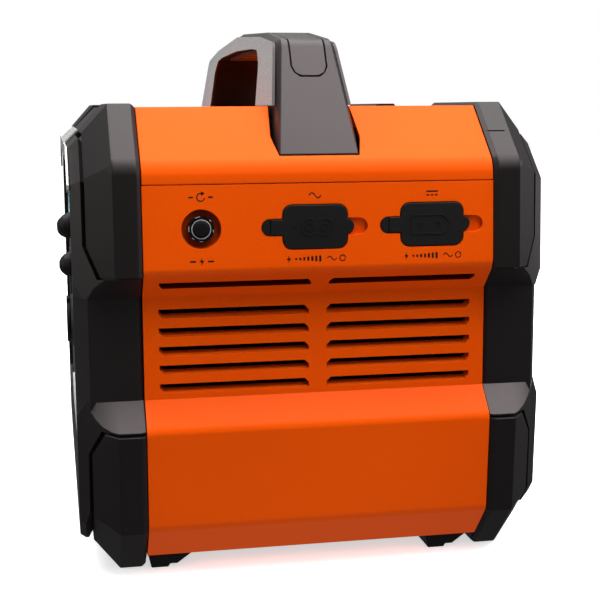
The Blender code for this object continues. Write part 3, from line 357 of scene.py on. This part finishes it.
# plastic: colour, darker tone, roughness, grain in mm, strength of the grain
# metal: colour, roughness, axis of the brush lines, their strength, metallic, flecks
# shaded_recess: colour, x of the lip and of the floor in mm, share of light at each
MATERIALS = {
    "shell": plastic("orange_shell", ORANGE, (0.74, 0.074, 0.0008), 0.40, 0.55, 0.35,
                     specular=0.04),
    "housing": plastic("housing_grain", (0.0092, 0.0078, 0.0082), (0.0070, 0.0060, 0.0063), 0.37,
                       0.5, 0.5, specular=0.33, sheen=WARM),
    "guard": plastic("guard_grain", (0.0095, 0.0080, 0.0083), (0.0070, 0.0059, 0.0061), 0.39,
                     0.6, 0.5, specular=0.21, sheen=WARM),
    "trim": metal("silver_trim", (0.30, 0.405, 0.42), 0.45, 2, 0.15, 0.22, 0.25),
    "front_silver": metal("silver_front", (0.40, 0.41, 0.40), 0.40, 2, 0.15, 0.4, 0.2),
    "grip": plastic("grip_grain", (0.015, 0.0128, 0.0132), (0.011, 0.0094, 0.0098), 0.42, 0.5,
                    0.45, specular=0.33, sheen=WARM),
    "rubber": plastic("rubber_matt", (0.0085, 0.0078, 0.0080), (0.006, 0.0056, 0.0058), 0.52, 0.4,
                      0.5, specular=0.2),
    "gloss": plastic("panel_gloss", (0.010, 0.010, 0.011), (0.007, 0.007, 0.008), 0.22, 0.8, 0.08),
    "metal": metal("plated_steel", (0.40, 0.39, 0.38), 0.3, 1),
    # bright metal for painted highlights: the glints on the breaker's bushing rim and nut corners
    "bright_rim": metal("painted_glint_metal", (0.62, 0.60, 0.58), 0.35, None, 0.1, 0.4),
    "dark_metal": metal("black_nickel", (0.045, 0.042, 0.042), 0.25, 0, 0.3),
    "socket": plastic("socket_plastic", (0.022, 0.022, 0.024), (0.016, 0.016, 0.018), 0.45, 0.5,
                      0.3, specular=0.3),
    "lens": plastic("frosted_lens", (0.80, 0.82, 0.84), (0.76, 0.78, 0.80), 0.35, 0.6, 0.3),
    "board": plastic("solder_mask", (0.02, 0.14, 0.045), (0.015, 0.10, 0.03), 0.4, 0.6, 0.3),
    "cell_wrap": plastic("cell_film", (0.012, 0.032, 0.075), (0.010, 0.026, 0.060), 0.35, 0.8, 0.2),
    "inner": plastic("inner_plastic", (0.006, 0.005, 0.005), (0.004, 0.0035, 0.0035), 0.55, 0.5,
                     0.4, specular=0.1),
    "print": plastic("black_print", (0.006, 0.005, 0.005), (0.005, 0.004, 0.004), 0.5, 0.4, 0.1,
                     specular=0.1),
    "white_print": plastic("white_print", (0.62, 0.62, 0.60), (0.56, 0.56, 0.54), 0.45, 0.4, 0.1),
    # painted shade on the walls of the vents, the ledge vents and the breaker's well
    "vent": shaded_recess("vent_wall", ORANGE, 170.9, 166.2, 0.62, 0.75),
    "ledge_vent": shaded_recess("ledge_vent_wall", ORANGE, 178.0, 168.0, 0.38, 0.12),
    "breaker_well": shaded_recess("breaker_well_wall", ORANGE, 183.8, 180.6, 0.60, 0.34),
    "display_ink": glowing("display_ink", (0.35, 0.85, 1.0), 0.9, (0.1, 0.3, 0.35)),
}
# Nodes that don't look like the rest of their slot
LOOKS = {"grip_ribs": "grip", "heatsink": "dark_metal", "breaker_bushing": "dark_metal",
         "breaker_button": "inner", "front_trim": "front_silver"}


def look_of(node):
    return MATERIALS[LOOKS.get(node, SLOT_OF[node])]


# ---------------------------------------------------------------- finishing the CAD surfaces

def edge_near(edge, points, reach_mm):
    """True where both ends of an edge lie close to one of the (x, z) points, either side."""
    def near(vert, x, z):
        return max(abs(abs(vert.co.x) - x * MM), abs(vert.co.z - z * MM)) < reach_mm * MM
    return any(all(near(vert, x, z) for vert in edge.verts) for x, z in points)


def runs_along_y(edge, least_mm):
    return abs(edge.verts[0].co.y - edge.verts[1].co.y) > least_mm * MM


def at_shoulder(edge):
    return edge_near(edge, SHOULDER, 2.4) and runs_along_y(edge, 2.0)


def at_bend(edge):
    return edge_near(edge, BENDS, 0.6) and runs_along_y(edge, 50.0)


def in_vent(low_z, high_z):
    """Test for the walls of the vent slots between two heights."""
    def choose(face):
        middle = face.calc_center_median() / MM
        return (low_z < middle.z < high_z and abs(middle.y - Y0 / MM) < VENT_HALF
                and abs(face.normal.x) < 0.6 and abs(middle.x) > VENT_MIN_X)
    return choose


def in_breaker_well():
    """Test for the walls and floor of the recess round the breaker."""
    centre = box_middle("breaker_button")

    def choose(face):
        middle = face.calc_center_median()
        apart = math.hypot(middle.y - centre.y, middle.z - centre.z)
        return middle.x > WELL_MIN_X * MM and apart < WELL_RADIUS * MM
    return choose


def in_window(face):
    """The walls of the handle's opening."""
    middle = face.calc_center_median() / MM
    return (abs(middle.x) < WINDOW_HALF and WINDOW_Z[0] < middle.z < WINDOW_Z[1]
            and abs(face.normal.y) < 0.5)


def not_facing_y(face):
    return abs(face.normal.y) < 0.75


def ledge_at(middle, normal):
    """True on the curved ledges below and above the waist of a housing."""
    middle = middle / MM
    if abs(middle.x) < LEDGE_MIN_X or not LEDGE_Y[0] < abs(middle.y - Y0 / MM) < LEDGE_Y[1]:
        return False
    (foot_low, foot_high), (top_low, top_high) = LEDGE_Z
    low, high = foot_low < middle.z < foot_high, top_low < middle.z < top_high
    return (low and normal.z > LEDGE_MIN_RISE) or (high and normal.z < -LEDGE_MIN_RISE)


def on_ledge(face):
    return ledge_at(face.calc_center_median(), face.normal)


def box_middle(node):
    low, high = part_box(node)
    return (Vector(low) + Vector(high)) / 2


def round_edges(bm, edges, width_mm, segments):
    if edges:
        bmesh.ops.bevel(bm, geom=edges, offset=width_mm * MM, offset_type="OFFSET",
                        segments=segments, profile=0.5, affect="EDGES", clamp_overlap=True,
                        loop_slide=True, miter_outer="SHARP")


def finished(node, width_mm, segments, wide=(), soft=None, paint=()):
    """A copy of a CAD node with its edges rounded; it stands for the node.

    Each wide entry is a test that picks edges, their width and their segments.
    Each paint entry is a material's name and a test that picks the faces that take it.
    Faces picked by soft flow into each other without an edge.
    """
    bm = bmesh.new()
    bm.from_mesh(NODES[node].data)
    bmesh.ops.remove_doubles(bm, verts=bm.verts, dist=MERGE)
    bmesh.ops.dissolve_limit(bm, angle_limit=math.radians(FLAT_DEG), verts=bm.verts,
                             edges=bm.edges, use_dissolve_boundaries=False)

    def flows(edge):
        return bool(soft) and all(soft(face) for face in edge.link_faces)

    def bends(edge, least_deg):
        return edge.is_manifold and edge.calc_face_angle(0.0) > math.radians(least_deg)

    for choose, width, steps in wide:
        edges = [e for e in bm.edges if bends(e, WIDE_MIN_DEG) and choose(e)]
        round_edges(bm, edges, width, steps)
    edges = [e for e in bm.edges if bends(e, SHARP_DEG) and not flows(e)]
    round_edges(bm, edges, width_mm, segments)
    bm.normal_update()
    for number, (_, choose_face) in enumerate(paint, 1):
        for face in bm.faces:
            if choose_face(face):
                face.material_index = number
    bm.edges.index_update()
    flowing = [e.index for e in bm.edges if flows(e)]
    mesh = bpy.data.meshes.new(f"{node}_finish")
    bm.to_mesh(mesh)
    bm.free()
    made = bpy.data.objects.new(f"{node}_finish", mesh)
    bpy.context.scene.collection.objects.link(made)
    mesh.shade_smooth()
    mesh.set_sharp_from_angle(angle=math.radians(CREASE_DEG))
    for number in flowing:
        mesh.edges[number].use_edge_sharp = False
    weighted = made.modifiers.new("weighted", "WEIGHTED_NORMAL")
    weighted.keep_sharp = True
    if soft:
        keep_ledges_even(made, weighted)
    mesh.materials.append(look_of(node))
    for name, _ in paint:
        mesh.materials.append(MATERIALS[name])
    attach(made, BODY_OF[node])
    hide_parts(node)


def keep_ledges_even(made, weighted):
    """Fix the shading normals, with the curved ends of the ledges turning only gently."""
    mesh = made.data
    shown = made.evaluated_get(bpy.context.evaluated_depsgraph_get())
    normals = [Vector(corner.vector) for corner in shown.to_mesh().corner_normals]
    shown.to_mesh_clear()
    made.modifiers.remove(weighted)
    across, curl, rise = LEDGE_NORMAL
    curl_start, curl_length = LEDGE_CURL
    for face in mesh.polygons:
        if not ledge_at(face.center, face.normal):
            continue
        for corner in face.loop_indices:
            at = mesh.vertices[mesh.loops[corner].vertex_index].co
            past = max(0.0, abs(at.y - Y0) / MM - curl_start) / curl_length
            even = Vector((math.copysign(across, at.x), math.copysign(curl * past, at.y - Y0),
                           math.copysign(rise, face.normal.z)))
            normals[corner] = even.normalized()
    mesh.normals_split_custom_set(normals)


def repaint_nodes(done):
    """The plain looks of the nodes that no finished copy stands for."""
    for node, thing in NODES.items():
        if node not in done:
            thing.data.materials.clear()
            thing.data.materials.append(look_of(node))


def build_surfaces():
    """Rounded copies of the nodes that show, and paint for the others."""
    shoulder = {"wide": [(at_shoulder, 5.0, 5)]}
    panel = {"wide": [(at_bend, 2.6, 4)],
             "paint": [("vent", in_vent(*VENT_Z[:2])), ("ledge_vent", in_vent(*VENT_Z[1:]))]}
    well = ("breaker_well", in_breaker_well())
    # For each node: width of its rounded edges in mm, their segments, and what else it takes
    settings = {"top_cover": (0.5, 2, shoulder)}
    for node in NODES:
        if "guard" in node:
            settings[node] = (0.6, 3, shoulder)
        elif "housing" in node:
            settings[node] = (0.5, 2, {**shoulder, "soft": on_ledge})
        elif node.startswith(("foot", "grip_inlay")):
            settings[node] = (0.45, 2, {})
        elif node == "handle_core":
            settings[node] = (0.45, 2, {"paint": [("inner", in_window)]})
        elif node in ("front_trim", "control_panel", "display_lens", "car_socket_cap",
                      "ac_inlet_cover", "dc_inlet_cover", "ac_cover_anchor", "dc_cover_anchor"):
            settings[node] = (0.35, 2, {})
    for end in ("front", "rear"):
        settings[f"handle_trim_{end}"] = (0.3, 1, {"paint": [("grip", not_facing_y)]})
    settings["side_panel_left"] = (0.45, 2, panel)
    settings["side_panel_right"] = (0.45, 2, {**panel, "paint": [*panel["paint"], well]})
    for node, (width, segments, more) in settings.items():
        finished(node, width, segments, **more)
    repaint_nodes(settings)


# ---------------------------------------------------------------- new pieces

def piece(name, bm, look, body="station", smooth=None):
    """A new visible piece from a mesh; smooth is the angle above which edges stay sharp."""
    bmesh.ops.recalc_face_normals(bm, faces=bm.faces)
    mesh = bpy.data.meshes.new(name)
    bm.to_mesh(mesh)
    bm.free()
    thing = bpy.data.objects.new(name, mesh)
    bpy.context.scene.collection.objects.link(thing)
    if smooth is not None:
        mesh.shade_smooth()
        mesh.set_sharp_from_angle(angle=math.radians(smooth))
    mesh.materials.append(MATERIALS[look])
    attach(thing, body)


def skin(bm, low, high):
    """Faces between two loops of equally many points."""
    for i in range(len(low)):
        j = (i + 1) % len(low)
        bm.faces.new((low[i], low[j], high[j], high[i]))


def ring_between(bm, rings):
    """Closed skin through rings of equally many points, the last joined to the first."""
    loops = [[bm.verts.new(point) for point in ring] for ring in rings]
    for low, high in zip(loops, loops[1:] + loops[:1]):
        skin(bm, low, high)


def tube_between(bm, rings):
    """Closed skin through rings of equally many points, with both ends capped."""
    loops = [[bm.verts.new(point) for point in ring] for ring in rings]
    for low, high in zip(loops[:-1], loops[1:]):
        skin(bm, low, high)
    bm.faces.new(loops[0])
    bm.faces.new(loops[-1])


def inset_ring(ring, distance):
    """Closed clockwise outline moved inwards with mitred corners."""
    lines = []
    for (x0, z0), (x1, z1) in zip(ring, ring[1:] + ring[:1]):
        length = math.hypot(x1 - x0, z1 - z0)
        dx, dz = (x1 - x0) / length, (z1 - z0) / length
        lines.append((x0 + dz * distance, z0 - dx * distance, dx, dz))
    points = []
    for (px, pz, dx, dz), (qx, qz, ex, ez) in zip(lines[-1:] + lines[:-1], lines):
        det = dx * ez - dz * ex
        share = ((qx - px) * ez - (qz - pz) * ex) / det
        points.append((px + dx * share, pz + dz * share))
    return points


def build_gaskets():
    """Dark seals in the joints between the orange shell and the two housings."""
    ring = SHELL_PROFILE + [(-x, z) for x, z in reversed(SHELL_PROFILE)]
    outer, inner = (inset_ring(ring, inset) for inset in GASKET_INSET)
    near, far = GASKET_Y
    corners = ((outer, near), (outer, far), (inner, far), (inner, near))
    for end, sign in (("front", -1), ("rear", 1)):
        bm = bmesh.new()
        ring_between(bm, [[(x * MM, Y0 + sign * y * MM, z * MM) for x, z in outline]
                          for outline, y in corners])
        piece(f"shell_gasket_{end}", bm, "rubber")


# ---------------------------------------------------------------- raised and printed lines

COVER_TOP_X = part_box("ac_inlet_cover")[1].x
PANEL_FACE_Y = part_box("control_panel")[0].y
DISPLAY_FACE_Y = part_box("display_lens")[0].y


def wall_point(u, v, rise):
    """On the right side wall: u is y from the middle of the shell and v the height, in mm."""
    (top_x, top_z), (foot_x, foot_z) = SHELL_PROFILE[1:3]
    x = top_x + (foot_x - top_x) * (top_z - v) / (top_z - foot_z)
    return Vector(((x + rise) * MM, Y0 + u * MM, v * MM))


def cover_point(u, v, rise):
    """On the flat top of the two inlet covers."""
    return Vector((COVER_TOP_X + rise * MM, Y0 + u * MM, v * MM))


def panel_point(u, v, rise):
    """On the control panel: u is x and v the height, in mm."""
    return Vector((u * MM, PANEL_FACE_Y - rise * MM, v * MM))


def display_point(u, v, rise):
    """On the display lens."""
    return Vector((u * MM, DISPLAY_FACE_Y - rise * MM, v * MM))


def ribbon(bm, path, width, rise, place, closed=False):
    """A line of even width along (u, v) points, with sloping sides."""
    count = len(path)
    foot, top = LINE_SHARES
    rings = []
    for i, (u, v) in enumerate(path):
        here = Vector((u, v))
        before = Vector(path[i - 1]) if i or closed else None
        after = Vector(path[(i + 1) % count]) if i < count - 1 or closed else None
        came = (here - before).normalized() if before is not None else None
        goes = (after - here).normalized() if after is not None else came
        came = goes if came is None else came
        side = Vector((-(came.y + goes.y), came.x + goes.x)).normalized()
        side /= max(0.5, side.dot(Vector((-came.y, came.x))))
        ring = []
        for share, level in ((foot, SUNK), (top, rise), (-top, rise), (-foot, SUNK)):
            at = here + side * (width * share)
            ring.append(place(at.x, at.y, level))
        rings.append(ring)
    if closed:
        ring_between(bm, rings)
    else:
        tube_between(bm, rings)


def patch(bm, outline, rise, place):
    """A filled mark with the given outline."""
    tube_between(bm, [[place(u, v, level) for u, v in outline] for level in (SUNK, rise)])


def arc(centre, radius, start, sweep, steps):
    """Points along an arc; start and sweep are in degrees."""
    turns = [math.radians(start + sweep * i / steps) for i in range(steps + 1)]
    return [(centre[0] + radius * math.cos(turn), centre[1] + radius * math.sin(turn))
            for turn in turns]


def wave(centre, length, height, steps=16):
    return [(centre[0] - length / 2 + length * i / steps,
             centre[1] + height * math.sin(math.tau * i / steps)) for i in range(steps + 1)]


def bolt(centre, size):
    shape = [(0.1, 0.5), (-0.3, -0.08), (-0.02, -0.08), (-0.12, -0.5), (0.3, 0.1), (0.02, 0.1)]
    return [(centre[0] + x * size, centre[1] + z * size) for x, z in shape]


def bar(centre, width, height):
    u, v = centre
    return [(u - width / 2, v - height / 2), (u + width / 2, v - height / 2),
            (u + width / 2, v + height / 2), (u - width / 2, v + height / 2)]


def build_wall_marks():
    """Plain pictograms above and below the breaker and the two inlets."""
    ink, place = bmesh.new(), wall_point
    low, high = MARKS_Z
    ribbon(ink, arc((BREAKER_Y, high), 2.0, 60, 290, 18), 0.75, INK_RISE, place)
    patch(ink, [(BREAKER_Y + 0.2, high + 3.0), (BREAKER_Y + 0.2, high + 0.7),
                (BREAKER_Y + 2.2, high + 1.9)], INK_RISE, place)
    patch(ink, bolt((BREAKER_Y, low), 4.2), INK_RISE, place)
    for side in (-1, 1):
        patch(ink, bar((BREAKER_Y + side * 5.0, high), 2.4, 0.8), INK_RISE, place)
        patch(ink, bar((BREAKER_Y + side * 4.6, low), 3.0, 0.8), INK_RISE, place)
    ribbon(ink, wave((AC_Y, high), 6.4, 1.3), 0.75, INK_RISE, place)
    patch(ink, bar((DC_Y, high + 1.0), 6.2, 0.75), INK_RISE, place)
    for step in (-2.3, 0.0, 2.3):
        patch(ink, bar((DC_Y + step, high - 0.9), 1.5, 0.75), INK_RISE, place)
    for centre in (AC_Y, DC_Y):
        patch(ink, bolt((centre - 14.0, low), 4.0), INK_RISE, place)
        for number in range(7):
            patch(ink, bar((centre - 10.2 + number * 2.1, low), 1.1, 1.0 + 0.36 * number),
                  INK_RISE, place)
        ribbon(ink, wave((centre + 8.6, low), 5.0, 1.0), 0.7, INK_RISE, place)
        ribbon(ink, arc((centre + 14.2, low), 1.5, 0, 345, 14), 0.7, INK_RISE, place)
    piece("wall_marks", ink, "print")


def build_cover_marks():
    """Raised signs moulded into the inlet covers: a figure of eight and a keyed plug."""
    raised = bmesh.new()
    u, v = AC_Y + 0.8, COVER_Z
    for side, start in ((-1, 45), (1, -135)):
        middle = (u + side * 3.9, v)
        ribbon(raised, arc(middle, 4.3, start, 270, 22), 0.8, SIGN_RISE, cover_point)
        ribbon(raised, arc(middle, 1.9, 0, 342, 14), 0.7, SIGN_RISE, cover_point)
    ribbon(raised, arc((u - 11.5, v), 0.7, 0, 330, 10), 0.6, SIGN_RISE, cover_point)
    piece("ac_cover_sign", raised, "rubber", "ac_inlet_cover", 40)
    raised = bmesh.new()
    u = DC_Y - 0.5
    outline = [(u - 10.5, v - 4.9), (u + 6.0, v - 4.9), (u + 10.0, v - 1.4), (u + 10.0, v + 1.4),
               (u + 6.0, v + 4.9), (u - 10.5, v + 4.9)]
    ribbon(raised, outline, 0.8, SIGN_RISE, cover_point, closed=True)
    for side in (-1, 1):
        pin = bar((u - 1.0 + side * 4.6, v), 2.2, 2.2)
        ribbon(raised, pin, 0.7, SIGN_RISE, cover_point, closed=True)
    piece("dc_cover_sign", raised, "rubber", "dc_inlet_cover", 40)


def build_breaker_parts():
    """Painted highlights in bright metal: a ring on the rim of the breaker's bushing and glints on
    the corners of its nut.
    """
    middle = box_middle("breaker_button")
    middle = ((middle.y - Y0) / MM, middle.z / MM)

    def on_face(node):
        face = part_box(node)[1].x
        return lambda u, v, rise: Vector((face + rise * MM, Y0 + u * MM, v * MM))

    # painted highlights: a bright ring on the bushing's rim and short glints on the nut's corners
    bright = bmesh.new()
    ribbon(bright, arc(middle, 4.8, 0, 354, 48)[:-1], 0.42, 0.12, on_face("breaker_bushing"),
           closed=True)
    for start, sweep in ((95, 22), (165, 26), (222, 12), (262, 16), (345, 10), (38, 9)):
        ribbon(bright, arc(middle, 6.3, start, sweep, 6), 0.4, 0.1, on_face("breaker_nut"))
    piece("breaker_glints", bright, "bright_rim")


def build_panel_marks():
    """White signs on the control panel: a power ring by each button, and signs by the sockets."""
    ink, rise, place = bmesh.new(), PANEL_INK_RISE, panel_point
    for node in ("ac_button", "dc_button", "usb_button", "lamp_button"):
        middle = box_middle(node) / MM
        beside, above = (-12.5, 0.0) if node in ("ac_button", "dc_button") else (0.0, 13.0)
        u, v = middle.x + beside, middle.z + above
        ribbon(ink, arc((u, v), 2.0, 125, 290, 16), 0.6, rise, place)
        patch(ink, bar((u, v + 1.4), 0.6, 2.4), rise, place)
    usb = box_middle("usb_module") / MM
    patch(ink, bolt((usb.x, usb.z + 19.5), 5.0), rise, place)
    for side in (-1, 1):
        patch(ink, bar((usb.x + side * 13.0, usb.z + 19.5), 12.0, 0.6), rise, place)
    outlet = box_middle("ac_outlet_upper") / MM
    ribbon(ink, wave((outlet.x, outlet.z + 17.0), 9.0, 1.6), 0.6, rise, place)
    socket = box_middle("car_socket") / MM
    ribbon(ink, arc((socket.x, socket.z), 20.5, 110, 320, 60), 0.6, rise, place)
    for node in ("dc_jack_left", "dc_jack_right"):
        jack = box_middle(node) / MM
        ribbon(ink, arc((jack.x, jack.z), 8.2, 0, 345, 24), 0.5, rise, place)
    lamp = box_middle("lamp_lens") / MM
    for side in (-1, 1):
        u, v = lamp.x + side * 68.0, lamp.z
        ribbon(ink, arc((u, v), 1.8, 0, 345, 14), 0.6, rise, place)
        for ray in range(8):
            out = Vector((math.cos(math.tau * ray / 8), math.sin(math.tau * ray / 8)))
            line = [(u + out.x * far, v + out.y * far) for far in (2.9, 4.3)]
            ribbon(ink, line, 0.5, rise, place)
    piece("panel_marks", ink, "white_print")


def build_display_marks():
    """A charge ring, level bars and two plain gauges on the display."""
    ink, rise, place = bmesh.new(), PANEL_INK_RISE, display_point
    middle = box_middle("display_lens") / MM
    for step in range(24):
        ribbon(ink, arc((middle.x, middle.z), 14.5, 84 - step * 15, -9, 3), 2.2, rise, place)
    patch(ink, bolt((middle.x, middle.z), 13.0), rise, place)
    for side in (-1, 1):
        for number in range(6):
            at = (middle.x + side * (26.0 + number * 4.2), middle.z - 8.0 + number * 0.9)
            patch(ink, bar(at, 2.6, 5.0 + number * 1.8), rise, place)
        ribbon(ink, wave((middle.x + side * 36.0, middle.z + 12.0), 16.0, 2.0), 0.7, rise, place)
    piece("display_marks", ink, "display_ink")


def turned_piece(bm, centre, profile, steps=24):
    """Solid of revolution about Y: profile is (mm outwards from the panel, radius) pairs."""
    ring = arc((0.0, 0.0), 1.0, 0, 360, steps)[:-1]
    tube_between(bm, [[panel_point(centre[0] + radius * u, centre[1] + radius * v, rise)
                       for u, v in ring] for rise, radius in profile])


def build_panel_parts():
    """Screws at the panel's corners and tongues in the USB ports."""
    screws = bmesh.new()
    profile = [(-1.0, 2.9), (0.35, 2.9), (0.75, 2.55), (0.9, 1.9), (0.2, 1.5), (0.1, 0.6)]
    for u in (-SCREW_X, SCREW_X):
        for v in SCREW_Z:
            turned_piece(screws, (u, v), profile)
    piece("panel_screws", screws, "dark_metal", smooth=35)
    tongues = bmesh.new()
    usb = box_middle("usb_module") / MM
    for side in (-1, 1):
        u, v = usb.x + side * 12.0, usb.z
        outline = [(u - 5.4, v + 0.2), (u + 5.4, v + 0.2), (u + 5.6, v + 0.5), (u + 5.6, v + 1.9),
                   (u + 5.4, v + 2.2), (u - 5.4, v + 2.2), (u - 5.6, v + 1.9), (u - 5.6, v + 0.5)]
        tube_between(tongues, [[panel_point(a, b, level) for a, b in outline]
                               for level in (-11.5, -1.2)])
    piece("usb_tongues", tongues, "white_print")


# ---------------------------------------------------------------- make everything

build_camera()
build_studio()
build_floor()
build_surfaces()
build_gaskets()
build_wall_marks()
build_cover_marks()
build_breaker_parts()
build_panel_marks()
build_display_marks()
build_panel_parts()
